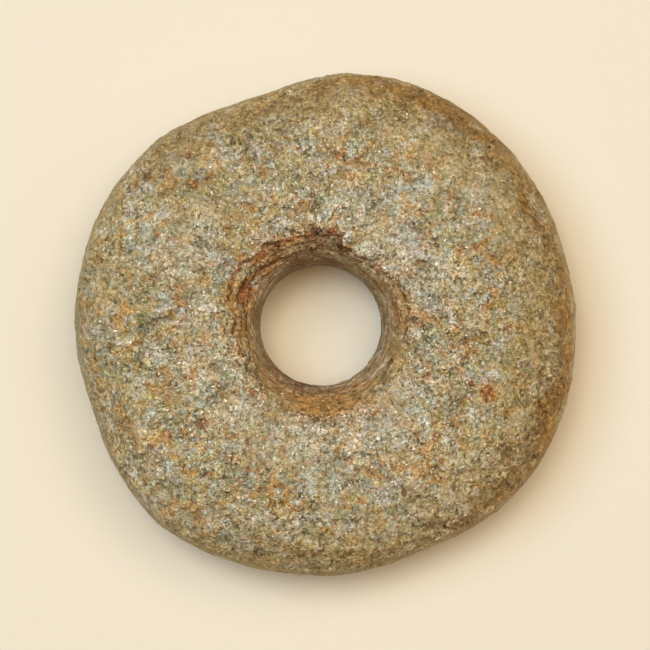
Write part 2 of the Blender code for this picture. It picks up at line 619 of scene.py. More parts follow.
@dataclass(frozen=True)
class SchistFinish:
    """Pecked mica schist: speckled grey-green stone under brown patina, ochre and rust, with some
    painted light and shade.

    Lightness is reckoned in doublings: a swing of 1 makes the stone twice as light.
    """

    bore_axis: tuple[float, float]
    roughness: Span = (0.55, 0.95)
    # The grains
    cluster: float = 2.6 * MM
    grain_ramp: tuple[tuple[float, Tint], ...] = (
        (0.36, Tint.GREEN_GREY), (0.50, Tint.TAN), (0.64, Tint.PALE_GREY),
    )
    wash: float = 4.2 * MM
    wash_rise: Span = (0.48, 0.66)
    wash_strength: float = 0.38
    fleck: float = 1.0 * MM
    fleck_rise: Span = (0.86, 0.98)
    fleck_clustering: float = 0.7
    flecks: tuple[Fleck, ...] = (
        Fleck(Part.BLUE_FLECKS, Tint.BLUE_GREY, 0.52),
        Fleck(Part.LILAC_FLECKS, Tint.LILAC_GREY, 0.48),
        Fleck(Part.MOSS_FLECKS, Tint.MOSS, 0.50),
        Fleck(Part.OCHRE_FLECKS, Tint.OCHRE, 0.62, -0.02),
        Fleck(Part.ORANGE_FLECKS, Tint.ORANGE, 0.72, 0.045),
        Fleck(Part.RUST_FLECKS, Tint.RUST, 0.66, 0.14),
    )
    # The swings of lightness
    lift: float = 0.21
    speckle: float = 0.34 * MM
    speckle_contrast: float = 4.8
    cloud: float = 2.2 * MM
    cloud_contrast: float = 1.1
    glitter: float = 0.15 * MM
    glitter_contrast: float = 0.80
    relief_contrast: float = 0.13
    zone_contrast: Span = (0.85, 1.15)
    # How much more green and blue swing than red, so that dark specks look browner
    channel_swing: tuple[float, float, float] = (1.0, 1.08, 1.40)
    # Painted shade in each small pore
    pore: float = 0.60 * MM
    pore_bend: float = 0.4
    pore_edge: Span = (0.05, 0.40)
    pore_chance: Span = (0.68, 0.80)
    pore_shade: float = 0.95
    # Painted shade along each thin crack
    crack: float = 1.30 * MM
    crack_bend: float = 0.5
    crack_edge: Span = (0.0, 0.05)
    crack_gaps: Span = (0.50, 0.62)
    crack_shade: float = 0.60
    # The bore's streaks
    streak: float = 0.50 * MM
    streak_radius: float = 1.6 * MM
    streak_contrast: float = 2.9
    waist_calm: float = 0.45
    # What is lost where the stone is worn and in the bore
    worn_flecks: float = 0.85
    worn_swing: float = 0.45
    worn_facets: float = 0.50
    # The stains
    stains: tuple[Stain, ...] = (
        Stain(Mask.OUTER, Tint.OLIVE, 0.55),
        Stain(Mask.PALE, Tint.PALE_GREY, 0.60),
        Stain(Mask.SIDE, Tint.OLIVE, 0.60),
        Stain(Mask.PATINA, Tint.PATINA, 1.40),
        Stain(Mask.BORE_WALL, Tint.OLIVE, 0.50),
        Stain(Mask.OCHRE_STAIN, Tint.ORANGE, 0.75),
        # Brown on the bore's wall: a stain near its waist, and painted shade on its top side
        Stain(Mask.WALL_STAIN, Tint.WALL_BROWN, 1.1),
    )
    patch_rise: Span = (0.36, 0.60)
    patch_cover: Span = (0.3, 1.0)
    spot: float = 2.0 * MM
    spot_rise: Span = (0.53, 0.64)
    spot_strength: float = 0.60
    line: float = 0.8 * MM
    line_rise: Span = (0.56, 0.63)
    line_strength: float = 0.45
    rust_grain: float = 1.1 * MM
    rust_ramp: tuple[tuple[float, Tint], ...] = (
        (0.36, Tint.BROWN), (0.50, Tint.RUST), (0.72, Tint.ORANGE),
    )
    ragged: float = 0.8 * MM
    ragged_gain: float = 1.7
    ragged_width: float = 0.35
    ragged_stains: tuple[RaggedStain, ...] = (
        RaggedStain(Mask.BROWN_SPOTS, 0.55, 0.75, rusty=False),
        RaggedStain(Mask.STEP_EDGE, 0.70, 0.75),
        RaggedStain(Mask.SCARS, 0.60, 0.85),
    )
    # The relief that is finer than the mesh
    facet: float = 0.46 * MM
    small_facet: float = 0.21 * MM
    facet_lean: float = 1.4
    facet_bend: float = 0.35

    def build(self) -> bpy.types.Material:
        """Builds the material.

        Returns:
            The stone's material.
        """
        material = new_material("mica_schist")
        nodes = SchistNodes(material.node_tree, self)
        colour = nodes.stained(nodes.grains())
        nodes.paint(
            Base_Color=nodes.vector("MULTIPLY", colour, nodes.lightness()),
            Roughness=nodes.across(nodes.noise(self.speckle), self.roughness),
            Normal=nodes.facet_relief(),
        )
        return material


@dataclass
class SchistNodes(ShaderGraph):
    """Lays the nodes of the schist's material."""

    finish: SchistFinish

    @cached_property
    def ring(self) -> Value:
        """The place rolled up round the bore."""
        return self.rolled(self.finish.bore_axis, self.finish.streak_radius)

    def unworn(self, loss: float) -> Value:
        """1 on the open face, and less by the loss on worn sides and in the bore."""
        smooth = self.math("MAXIMUM", self.mask(Mask.WORN), self.mask(Mask.BORE_WALL))
        return 1.0 - smooth * loss

    def fleck_share(self, fleck: Fleck) -> Value:
        """Where the flecks of one colour lie: small blots, more of them in some clusters.

        Args:
            fleck: The flecks.

        Returns:
            A number from 0 to 1.
        """
        finish = self.finish
        far = self.moved(fleck.part)
        blot = self.noise(finish.fleck, at=far, Roughness=0.45)
        height = self.noise(finish.cluster, at=far) * finish.fleck_clustering + blot
        start, end = finish.fleck_rise
        share = self.rise(height, (start + fleck.rarity, end + fleck.rarity))
        return share * self.unworn(finish.worn_flecks)

    def grains(self) -> Value:
        """The bare stone: grains, a golden wash and flecks.

        Returns:
            Its colour.
        """
        finish = self.finish
        mass = self.noise(finish.cluster, 3.0, Roughness=0.55)
        wash = self.noise(finish.wash, 3.0, self.moved(Part.WASH))
        wash = self.rise(wash, finish.wash_rise) * finish.wash_strength
        colour = self.blend(wash, self.ramp(mass, finish.grain_ramp), Tint.GOLDEN.rgba)
        for fleck in finish.flecks:
            share = self.fleck_share(fleck) * fleck.strength
            colour = self.blend(share, colour, fleck.tint.rgba)
        return colour

    def lightness(self) -> Value:
        """How much lighter or darker than its surroundings each speck of the stone is.

        Dark specks are browner and light ones paler than the rest.

        Returns:
            Factors around 1 for red, green and blue.
        """
        finish = self.finish
        # Darker where the relief is low and lighter where it is high
        swing = self.mask(Mask.RELIEF) * finish.relief_contrast
        speckle = self.noise(finish.speckle, 4.0, Roughness=0.85)
        swing += (speckle - 0.5) * finish.speckle_contrast
        cloud = self.noise(finish.cloud, at=self.moved(Part.CLOUDS))
        swing += (cloud - 0.5) * finish.cloud_contrast
        glitter = self.lot(self.cells(finish.glitter, self.moved(Part.GLITTER)))
        swing += (glitter - 0.5) * finish.glitter_contrast
        # Painted shade in each small pore
        swing -= self.painted_pore_shade()
        # Painted shade along each thin crack
        swing -= self.painted_crack_shade()
        swing *= self.unworn(finish.worn_swing)
        swing *= self.zones(finish.zone_contrast)
        swing += self.streaks()
        # Painted light and shade on the rim, the bore's wall and the steps' edges, and some lighter
        # patches
        swing += self.mask(Mask.LIGHT)
        swing += (1.0 - self.mask(Mask.BORE_WALL)) * finish.lift
        gains = [self.math("POWER", 2.0, swing * share) for share in finish.channel_swing]
        return self.take("ShaderNodeCombineXYZ", dict(enumerate(gains)))

    def streaks(self) -> Value:
        """How light the streaks round the bore's wall are.

        Returns:
            Their swing.
        """
        finish = self.finish
        line = self.noise(finish.streak, 4.0, self.ring, Roughness=0.7)
        line = (line - 0.5) * finish.streak_contrast
        calm = 1.0 - self.mask(Mask.WAIST) * finish.waist_calm
        return line * calm * self.mask(Mask.BORE_WALL)

    def painted_pore_shade(self) -> Value:
        """How dark the painted shade in each small pore is.

        Returns:
            Their swing.
        """
        finish = self.finish
        crooked = self.bent(finish.pore, finish.pore_bend)
        dots = self.dots(finish.pore, finish.pore_edge, finish.pore_chance, crooked)
        return dots * finish.pore_shade

    def painted_crack_shade(self) -> Value:
        """How dark the painted shade along each thin, broken crack is.

        Returns:
            Their swing.
        """
        finish = self.finish
        crooked = self.bent(finish.crack, finish.crack_bend, self.moved(Part.CRACKS))
        cell = self.cells(finish.crack, crooked, feature="DISTANCE_TO_EDGE")
        line = 1.0 - self.rise(Value(self, cell.outputs["Distance"]), finish.crack_edge)
        broken = self.rise(self.noise(finish.crack), finish.crack_gaps)
        return line * broken * finish.crack_shade

    def stained(self, colour: Value) -> Value:
        """Lays patina, rust and ochre over the grains, and brown painted shade on the top of the
        bore's wall.

        Args:
            colour: The grains' colour.

        Returns:
            The stained colour.
        """
        finish = self.finish
        patch = self.noise(finish.cluster, 4.0, self.moved(Part.STAIN_PATCHES), Roughness=0.65)
        patch = self.across(self.rise(patch, finish.patch_rise), finish.patch_cover)
        spot = self.noise(finish.spot, 3.0, self.moved(Part.SPOTS))
        spot = self.rise(spot, finish.spot_rise) * self.mask(Mask.PATINA)
        line = self.noise(finish.line, 3.0, self.ring)
        line = self.rise(line, finish.line_rise) * self.mask(Mask.BORE_WALL)
        rust = self.ramp(self.noise(finish.rust_grain), finish.rust_ramp)
        brown = Tint.BROWN.rgba
        layers = [(self.mask(s.mask) * patch, s.tint.rgba, s.strength) for s in finish.stains]
        layers.append((spot, brown, finish.spot_strength))
        layers.append((line, Tint.RUST.rgba, finish.line_strength))
        for stain in finish.ragged_stains:
            layers.append((self.ragged(stain), rust if stain.rusty else brown, stain.strength))
        for share, tint, strength in layers:
            share = self.math("MULTIPLY", share, strength, clamp=True)
            colour = self.blend(share, colour, tint)
        return colour

    def ragged(self, stain: RaggedStain) -> Value:
        """Gives the soft patches of a stain's mask a ragged edge.

        Args:
            stain: The stain.

        Returns:
            Its share, from 0 to 1.
        """
        finish = self.finish
        edge = self.noise(finish.ragged, 3.0, self.moved(Part.RAGGED_EDGES), Roughness=0.6)
        share = self.mask(stain.mask) * (edge * finish.ragged_gain)
        return self.rise(share, (stain.full - finish.ragged_width, stain.full))

    def facet_relief(self) -> Value:
        """Relief that is finer than the mesh: small facets and crumbs.

        Returns:
            The bent normal.
        """
        finish = self.finish
        crooked = self.bent(finish.facet, finish.facet_bend)
        coarse = self.facets(finish.facet, finish.facet_lean, crooked)
        fine = self.facets(finish.small_facet, finish.facet_lean, crooked)
        height = (coarse + fine) * self.unworn(finish.worn_facets)
        feeds = {"Height": height, "Distance": 1.0, "Strength": 1.0}
        return self.take("ShaderNodeBump", feeds, "Normal")


@dataclass(frozen=True)
class CrystalFinish:
    """Small crystals of one kind, each with its own tone."""

    name: str
    tones: tuple[tuple[float, Tint], ...]
    roughness: float
    metallic: float = 0.0

    def build(self) -> bpy.types.Material:
        """Builds the material.

        Returns:
            The crystals' material.
        """
        material = new_material(self.name)
        nodes = ShaderGraph(material.node_tree)
        tone = nodes.ramp(nodes.mask(Mask.TONE), self.tones)
        nodes.paint(Base_Color=tone, Roughness=self.roughness, Metallic=self.metallic)
        return material


@dataclass(frozen=True)
class TableFinish:
    """Plain, dull card."""

    roughness: float = 0.9
    specular: float = 0.1

    def build(self) -> bpy.types.Material:
        """Builds the material.

        Returns:
            The table's material.
        """
        material = new_material("pale_card")
        ShaderGraph(material.node_tree).paint(
            Base_Color=Tint.TABLE.rgba, Roughness=self.roughness, Specular_IOR_Level=self.specular
        )
        return material


@dataclass(frozen=True)
class Spot:
    """An oval place in the upper face, longest round the ring unless it is turned."""

    bearing: float
    # Distance from the bore's axis and half sizes in millimetres
    reach: float
    half_length: float
    half_width: float
    turn: float = 0.0

    def cover(self, grid: "RingGrid") -> np.ndarray:
        """How far each point lies in the spot.

        Args:
            grid: The stone's points.

        Returns:
            1 in the middle of the spot, falling to 0 outside it.
        """
        heading = math.radians(self.bearing)
        way = np.array([math.cos(heading), math.sin(heading)])
        along = heading + math.pi / 2 + math.radians(self.turn)
        offset = grid.points[..., :2] - grid.axis - self.reach * MM * way
        length = (offset @ [math.cos(along), math.sin(along)]) / (self.half_length * MM)
        width = (offset @ [-math.sin(along), math.cos(along)]) / (self.half_width * MM)
        return np.exp(-((length**2 + width**2) ** MARK_POWER)) * grid.above(MARK_RISE)


@dataclass(frozen=True)
class Hollow(Spot):
    """A chip, pit or crack, with its depth in millimetres."""

    depth: float = 0.2
    stain: float = 0.0


@dataclass(frozen=True)
class Blot(Spot):
    """A patch of another colour."""

    mask: Mask = Mask.SCARS
    strength: float = 1.0


def blots(mask: Mask, *ovals: tuple[float, ...]) -> tuple[Blot, ...]:
    """The blots of one mask, each given by its strength and then by its oval."""
    return tuple(Blot(*oval, mask=mask, strength=strength) for strength, *oval in ovals)


@dataclass(frozen=True)
class StepLine:
    """A crooked line round the mouth, inside which the stone is broken down by a step."""

    # Bearing in degrees, reach and drop in millimetres
    points: tuple[tuple[float, float, float], ...]
    edge: float = 0.22 * MM
    run: float = 1.1 * MM
    # How far down the step its rust lies, as a share of the edge's width
    rust_place: float = 0.6
    rust: float = 1.0

    def track(self, bearing: np.ndarray) -> tuple[np.ndarray, np.ndarray]:
        """Follows the line.

        Args:
            bearing: Bearings from the bore's axis, in degrees.

        Returns:
            The line's reach and the step's drop at each bearing, in metres.
        """
        bearings, reaches, drops = zip(*self.points)
        reach = np.interp(bearing, bearings, reaches, period=360)
        drop = np.interp(bearing, bearings, drops, period=360)
        return reach * MM, drop * MM


@dataclass
class RingGrid:
    """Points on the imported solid's skin, in columns round the ring and rows round a section."""

    solid: bpy.types.Object
    columns: int = 576
    rows: int = 172
    samples: int = 360
    bearing_blur: float = 1.5
    turn_blur: float = 3.0
    map_margin: float = 0.002
    waist_step: float = 5.0
    # How closely the rows stand, by the turn round a section from its outer side upwards
    row_density: Round = (
        (-90, 0.35), (-35, 0.35), (-5, 0.60), (20, 0.95), (100, 0.95), (108, 1.8), (160, 1.8),
        (172, 1.2), (190, 0.60), (205, 0.35), (270, 0.35),
    )
    tree: BVHTree = field(init=False)
    height: float = field(init=False)
    outline: float = field(init=False)
    waist: float = field(init=False)
    axis: np.ndarray = field(init=False)
    points: np.ndarray = field(init=False)
    normals: np.ndarray = field(init=False)

    def __post_init__(self) -> None:
        """Reads the skin and works out the points and the ways out of the stone at them."""
        corners = [v.co.copy() for v in self.solid.data.vertices]
        faces = [tuple(p.vertices) for p in self.solid.data.polygons]
        self.tree = BVHTree.FromPolygons(corners, faces)
        low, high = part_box(NODE)
        self.height = float(high[2])
        self.outline = float(high[0] - low[0]) / 2
        self.axis, self.waist = self.bore_waist()
        self.points = self.skin_points()
        along = np.roll(self.points, -1, axis=0) - np.roll(self.points, 1, axis=0)
        around = np.roll(self.points, -1, axis=1) - np.roll(self.points, 1, axis=1)
        normals = np.cross(along, around)
        self.normals = normals / np.linalg.norm(normals, axis=-1, keepdims=True)

    @property
    def mid_height(self) -> float:
        """Half the stone's height."""
        return self.height / 2

    def bore_waist(self) -> tuple[np.ndarray, float]:
        """Looks out at the bore's wall from inside its waist.

        Returns:
            The waist's middle and its radius.
        """
        start = Vector((0, 0, self.mid_height))
        hits = []
        for heading in np.radians(np.arange(0, 360, self.waist_step)):
            way = Vector((math.cos(heading), math.sin(heading), 0))
            hits.append(self.tree.ray_cast(start, way)[0][:2])
        walls = np.array(hits)
        return (walls.min(axis=0) + walls.max(axis=0)) / 2, float(np.ptp(walls[:, 0])) / 2

    def row_turns(self) -> np.ndarray:
        """Spaces the rows, closer together where more detail shows.

        Returns:
            The turn of each row round a section, in degrees.
        """
        turns = np.linspace(-90, 270, 3601)
        density = np.interp(turns, *zip(*self.row_density))
        share = np.concatenate(([0], np.cumsum((density[1:] + density[:-1]) / 2)))
        return np.interp(np.arange(self.rows) * share[-1] / self.rows, share, turns)

    def skin_points(self) -> np.ndarray:
        """Casts rays from the ring's core line to its skin.

        Returns:
            The points, by column and row.
        """
        core = (self.outline + self.waist) / 2
        bearings = np.radians(np.arange(self.columns) * 360 / self.columns)
        turns = -90 + np.arange(self.samples) * 360 / self.samples
        depth = np.empty((self.columns, self.samples))
        for column, bearing in enumerate(bearings):
            out = Vector((math.cos(bearing), math.sin(bearing), 0))
            start = out * core + Vector((0, 0, self.mid_height))
            for sample, turn in enumerate(np.radians(turns)):
                way = out * math.cos(turn) + Vector((0, 0, math.sin(turn)))
                depth[column, sample] = self.tree.ray_cast(start, way)[3]
        depth = blur_round(depth, self.bearing_blur * self.columns / 360, axis=0)
        depth = blur_round(depth, self.turn_blur * self.samples / 360, axis=1)
        wanted = self.row_turns()
        rows = np.array([np.interp(wanted, turns, line, period=360) for line in depth])
        turn = np.radians(wanted)[None, :]
        bearing = bearings[:, None]
        reach = core + rows * np.cos(turn)
        height = self.mid_height + rows * np.sin(turn)
        return np.stack([reach * np.cos(bearing), reach * np.sin(bearing), height], axis=-1)

    def above(self, span: Span) -> np.ndarray:
        """Rises from 0 to 1 going up through a span of heights, as shares of the stone's."""
        return ease(self.points[..., 2], (span[0] * self.height, span[1] * self.height))

    def reach(self) -> np.ndarray:
        """Each point's distance from the bore's axis."""
        return np.linalg.norm(self.points[..., :2] - self.axis, axis=-1)

    def bearing(self) -> np.ndarray:
        """Each point's bearing from the bore's axis, in degrees."""
        offset = self.points[..., :2] - self.axis
        return np.degrees(np.arctan2(offset[..., 1], offset[..., 0])) % 360

    def to_mesh(self, name: str) -> bpy.types.Mesh:
        """Closes the grid into a mesh with a map that unrolls it in two strips.

        Args:
            name: The mesh's name.

        Returns:
            The mesh, with one point for each column and row.
        """
        index = np.arange(self.columns * self.rows).reshape(self.columns, self.rows)
        beside = np.roll(index, -1, axis=0)
        corners = (index, beside, np.roll(beside, -1, axis=1), np.roll(index, -1, axis=1))
        faces = np.stack(corners, axis=-1).reshape(-1, 4)
        mesh = bpy.data.meshes.new(name)
        mesh.from_pydata(self.points.reshape(-1, 3).tolist(), [], faces.tolist())
        half = self.columns // 2
        margin = self.map_margin
        column, row = np.indices((self.columns, self.rows))
        strip = column // half
        places = []
        for step_u, step_v in ((0, 0), (1, 0), (1, 1), (0, 1)):
            across = margin + (column % half + step_u) / half * (1 - 2 * margin)
            up = strip / 2 + margin + (row + step_v) / self.rows * (0.5 - 2 * margin)
            places.append(np.stack([across, up], axis=-1).reshape(-1, 2))
        layer = mesh.uv_layers.new(name="OFBake")
        layer.data.foreach_set("uv", np.stack(places, axis=1).astype(np.float32).ravel())
        mesh.shade_smooth()
        return mesh


@dataclass(frozen=True)
class SkinZones:
    """Where the kinds of skin that the masks tell apart start and end."""

    # By the upright part of the way out of the stone: 1 on a level face, 0 on the side's middle
    side: Span = (0.65, 0.10)
    edge: Span = (0.97, 0.55)
    # The rim, where light and shade are painted
    rim: Span = (0.66, 0.42)
    rim_foot: Span = (0.05, 0.35)
    brow: Span = (0.992, 0.45)
    brow_foot: Span = (0.05, 0.50)
    # By the distance from the bore's axis, as shares of the outline's and in metres
    outer: Span = (0.5, 0.6)
    worn: Span = (15.0 * MM, 19.5 * MM)
    browned: Span = (12.5 * MM, 19.0 * MM)
    few_crystals: Span = (15.0 * MM, 19.0 * MM)
    pale: Span = (16.0 * MM, 9.5 * MM)
    waist: Span = (7.0 * MM, 5.8 * MM)
    dark_waist: Span = (6.4 * MM, 5.6 * MM)
    past_waist: Span = (5.4 * MM, 6.5 * MM)
    past_wall: Span = (6.0 * MM, 6.5 * MM)
    # By how far inside the mouth's lip it lies
    bore_wall: Span = (-0.3 * MM, 1.0 * MM)
    mouth_ochre: Span = (-1.3 * MM, 0.6 * MM)
    pale_lip: Span = (0.4 * MM, -0.6 * MM)
    ledges: Span = (-0.4 * MM, 0.1 * MM)
    in_mouth: Span = (-0.1 * MM, 0.1 * MM)
    # By height, in metres or as shares of the stone's
    underside: Span = (0.35 * MM, 0.02 * MM)
    upper: Span = (0.45, 0.55)
    steps: Span = (0.5, 0.6)
    # By bearing: the middle and the spread in degrees
    polished: tuple[float, float] = (55, 42)
    split: tuple[float, float] = (133, 42)
    # Where the wall's top side gets painted shade in brown
    stained_shaded_wall: tuple[float, float] = (95, 26)
    # The share of the mask on the side's middle, and its full share above
    rim_share: Span = (0.4, 1.0)
    brow_share: Span = (0.45, 1.0)
    # How worn the outer face is, how much more where it is polished, and how worn the side is
    worn_face: float = 0.30
    worn_polish: float = 0.18
    worn_side: float = 0.85
    # How many of the crystals are missing in the mouth and on the outer face
    mouth_loss: float = 0.85
    outer_loss: float = 0.7


@dataclass
class WhorlStone:
    """The whorl itself: the solid's form with its chips, its mouth's ledges and its pecked skin."""

    grid: RingGrid
    zones: SkinZones = SkinZones()
    # The sizes of the relief, and how much of it is lost on some kinds of skin
    unevenness: float = 0.36 * MM
    lump_size: float = 4.5 * MM
    wall_evenness: float = 0.65
    facet_size: float = 1.5 * MM
    facet_bend: float = 0.4
    small_facet_size: float = 0.72 * MM
    facet_lean: float = 0.48
    crumb_size: float = 0.40 * MM
    crumb_height: float = 0.09 * MM
    pit_depth: float = 0.40 * MM
    pit_spacing: float = 2.1 * MM
    pit_edge: Span = (0.06, 0.24)
    pit_chance: Span = (0.55, 0.75)
    roughness: Span = (0.60, 1.35)
    wall_calm: float = 0.84
    worn_calm: float = 0.92
    ledge_calm: float = 0.45
    ledge_height: float = 0.16 * MM
    ledge_pitch: float = 0.7 * MM
    ledge_wander: float = 2.4 * MM
    ledge_turns: float = 4.0
    striation_height: float = 0.08 * MM
    striation_pitch: float = 0.42 * MM
    striation_radius: float = 1.6 * MM
    # The height that counts as 1 in the relief's mask
    relief_unit: float = 0.1 * MM
    # The drop at which a step's edge shows fully
    full_drop: float = 0.3 * MM
    lip: StepLine = StepLine(
        (
            (-163, 7.20, 0.04), (-138, 7.60, 0.02), (-117, 7.63, 0.0), (-90, 7.88, 0.0),
            (-56, 7.63, 0.0), (-36, 7.88, 0.03), (-16, 7.75, 0.08), (4, 7.63, 0.15),
            (27, 7.63, 0.22), (42, 7.20, 0.24), (53, 7.10, 0.20), (60, 6.82, 0.24),
            (69, 7.10, 0.20), (75, 7.10, 0.24), (77.5, 8.10, 0.30), (94, 7.96, 0.34),
            (103, 7.88, 0.38), (112, 8.10, 0.40), (117, 8.20, 0.40), (124, 8.50, 0.44),
            (128.5, 8.35, 0.44), (133, 8.20, 0.44), (138.5, 8.45, 0.48), (143, 8.72, 0.48),
            (148, 8.69, 0.48), (164, 8.20, 0.34), (176, 7.63, 0.14),
        ),
    )
    ledges: tuple[StepLine, ...] = (
        StepLine(
            (
                (118, 7.00, 0.0), (126, 6.90, 0.28), (132, 7.10, 0.34), (141, 7.35, 0.34),
                (150, 7.50, 0.28), (158, 7.40, 0.0),
            ),
            run=0.7 * MM,
        ),
        StepLine(
            (
                (112, 6.10, 0.0), (125, 6.10, 0.24), (134, 6.20, 0.28), (147, 6.25, 0.28),
                (160, 6.20, 0.20), (174, 6.20, 0.0),
            ),
            run=0.8 * MM,
            rust=0.5,
        ),
    )
    # How strongly the mouth is stained, and the wall stained and given painted shade on its top
    # side, by bearing
    mouth_stain: Round = (
        (0, 0.90), (30, 0.60), (58, 0.1), (72, 0.1), (82, 0.6), (120, 0.7), (150, 0.4),
        (180, 0.65), (210, 0.35), (240, 1.0), (270, 0.95), (300, 1.0), (330, 0.40),
    )
    wall_stain: Round = (
        (0, 0.3), (30, 0.1), (60, 0.3), (80, 0.9), (110, 0.8), (130, 0.5), (150, 0.3),
        (180, 0.6), (210, 0.6), (240, 1.0), (270, 1.1), (300, 0.4), (330, 0.2),
    )
    # Painted light and shade on the rim and on the bore's wall, in doublings, by bearing
    painted_rim_shading: Round = (
        (0, 0.50), (30, 0.27), (60, 0.24), (90, 0.46), (120, 0.16), (150, 0.26), (180, 0.06),
        (210, -0.24), (240, 0.0), (270, 0.08), (300, 0.12), (330, 0.48),
    )
    painted_wall_shading: Round = (
        (0, 0.36), (30, 0.28), (60, 0.50), (90, 0.35), (120, 0.02), (150, 0.62), (180, 0.42),
        (210, 0.58), (240, 0.58), (270, 0.68), (300, 0.80), (330, 0.68),
    )
    # Painted light along the steps' edges, to lighten the shade in them
    painted_edge_light: float = 0.18
    # How pale the face is round the mouth and how brown its outer side and its brow are
    pale_share: Round = (
        (0, 0.4), (45, 1.0), (80, 0.5), (110, 0.0), (140, 0.1), (180, 0.4), (225, 0.9), (270, 0.8),
        (320, 0.7),
    )
    outer_share: Round = (
        (0, 1.3), (60, 1.1), (100, 0.9), (130, 0.7), (150, 0.1), (220, 0.1), (250, 0.6),
        (280, 0.8), (330, 1.4),
    )
    patina_share: Round = (
        (-60, 0.30), (-45, 0.72), (-30, 1.00), (0, 0.90), (30, 0.46), (45, 0.75), (60, 1.12),
        (75, 0.90), (90, 0.66), (110, 0.38), (130, 0.27), (150, 0.08), (180, 0.03),
        (240, 0.03), (270, 0.15),
    )
    hollows: tuple[Hollow, ...] = (
        # The oval flake scar in the mouth
        Hollow(157, 6.90, 1.00, 0.62, 6, 0.55, 1.3),
        # Chips on the mouth's right lip and beside its ledges
        Hollow(57, 6.86, 0.50, 0.25, 15, 0.18, 0.9),
        Hollow(130, 9.3, 0.60, 0.25, -20, 0.15, 0.5),
        # The nick in the outline
        Hollow(48.7, 22.1, 0.35, 0.60, 0, 0.22),
        # Pits, dents and short cracks in the face
        Hollow(126, 14.4, 0.50, 0.35, 20, 0.30, 0.2),
        Hollow(243.4, 15.5, 0.40, 0.40, 0, 0.25),
        Hollow(298, 16.1, 1.45, 0.15, -3, 0.28, 0.7),
        Hollow(338.9, 15.3, 0.65, 0.55, 0, 0.20, 0.9),
        Hollow(131.6, 16.2, 0.45, 0.40, 20, 0.20, 0.9),
        Hollow(79.6, 12.7, 0.90, 0.12, 84, 0.25),
        Hollow(99.9, 15.3, 0.70, 0.55, 10, 0.30),
        Hollow(195, 14.6, 3.2, 1.8, 10, 0.25),
    )
    blots: tuple[Blot, ...] = (
        # Rust in the mouth
        *blots(
            Mask.SCARS,
            (1.0, 91, 8.25, 0.55, 0.25, 5), (1.0, 84.4, 8.15, 0.50, 0.25, 15),
            (1.0, 78, 7.80, 0.30, 0.28), (1.0, 77, 7.15, 0.30, 0.28),
            (1.0, 133, 7.80, 0.95, 0.30), (1.0, 120, 7.70, 0.60, 0.22, -10),
            (1.0, 11, 6.75, 1.40, 0.12), (1.0, 1, 7.30, 0.95, 0.10),
            (1.0, 20, 6.93, 0.22, 0.22), (1.0, 333, 6.85, 0.30, 0.20),
            (1.0, 299.6, 6.07, 0.40, 0.16), (1.0, 224.5, 8.13, 0.50, 0.30),
            (1.0, 176, 6.40, 1.30, 0.09), (1.0, 184, 7.55, 0.55, 0.14),
        ),
        # Rust on the face
        *blots(
            Mask.SCARS,
            (1.0, 127.6, 15.86, 0.60, 0.18, 30), (1.0, 127.9, 18.5, 0.35, 0.25),
            (0.7, 130.5, 18.3, 0.30, 0.25), (1.0, 339.0, 13.7, 0.30, 0.22),
            (0.85, 338.2, 15.6, 1.05, 0.90), (0.60, 338.8, 14.1, 0.34, 0.30),
            (0.60, 340.7, 13.2, 0.28, 0.26), (1.0, 46.1, 20.06, 0.25, 0.22),
            (0.8, 296.5, 16.2, 0.30, 0.25),
        ),
        # Brown patches on the right side's brow
        *blots(
            Mask.PATINA,
            (1.1, 341, 20.4, 1.6, 0.60), (1.0, 62, 20.2, 2.0, 1.0),
            (1.1, 29, 20.6, 2.2, 0.70), (0.45, 325, 20.0, 1.9, 1.1),
        ),
        *blots(
            Mask.BROWN_SPOTS,
            (0.9, 139.4, 19.8, 0.60, 0.50), (0.45, 130, 16.3, 2.0, 1.4),
            (0.5, 60.6, 20.4, 1.10, 0.90),
        ),
        *blots(
            Mask.OCHRE_STAIN,
            (0.8, 56.7, 16.9, 0.70, 0.55), (0.4, 5, 12.4, 1.80, 1.30),
            (0.80, 301, 8.4, 1.80, 1.10), (0.60, 244, 8.4, 1.50, 0.90),
            (0.32, 112, 10.0, 3.0, 0.90), (0.5, 0, 7.9, 1.20, 0.60),
        ),
        *blots(Mask.OUTER, (1.0, 195, 14.6, 3.2, 1.8, 10)),
        # Lighter skin on the right, and beside the mouth's upper right and upper left
        *blots(
            Mask.LIGHT,
            (0.15, 12, 13.0, 4.0, 2.6), (0.60, 61, 7.35, 0.95, 0.55),
            (0.24, 152, 7.5, 1.6, 0.8),
        ),
        # Broken ground on the face
        *blots(
            Mask.BROKEN,
            (1.0, 186, 14.4, 4.0, 2.0), (1.0, 235, 15.4, 2.6, 1.6), (1.0, 262, 15.8, 3.2, 1.5),
            (1.0, 298, 15.4, 2.6, 1.3), (1.0, 96, 13.6, 2.2, 2.2), (0.9, 72, 12.4, 2.6, 1.8),
        ),
        # Pale patches round the mouth and on the upper face
        *blots(
            Mask.PALE,
            (1.3, 61, 7.7, 0.70, 0.50), (1.3, 28, 8.2, 0.60, 0.50), (0.7, 105, 9.2, 0.70, 0.40),
            (1.2, 325, 8.2, 0.60, 0.50), (0.75, 150, 13.2, 4.6, 2.6),
            (0.45, 60, 13.6, 4.2, 2.4), (0.40, 116, 13.8, 3.0, 2.2),
        ),
    )
    finish: SchistFinish = field(init=False)

    def __post_init__(self) -> None:
        """Sets the stone's finish."""
        self.finish = SchistFinish(tuple(map(float, self.grid.axis)))

    def build(self) -> bpy.types.Object:
        """Builds the stone.

        Returns:
            The finished piece.
        """
        inset, edges = self.break_mouth()
        scars = self.press_hollows()
        mesh = self.grid.to_mesh("pecked_stone")
        for mask, values in self.masks(inset, edges, scars).items():
            layer = mesh.attributes.new(mask.value, "FLOAT", "POINT")
            layer.data.foreach_set("value", values.astype(np.float32).ravel())
        piece = bpy.data.objects.new("pecked_stone", mesh)
        bpy.context.scene.collection.objects.link(piece)
        self.relief_tree().apply_to(piece)
        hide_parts(NODE)
        return piece

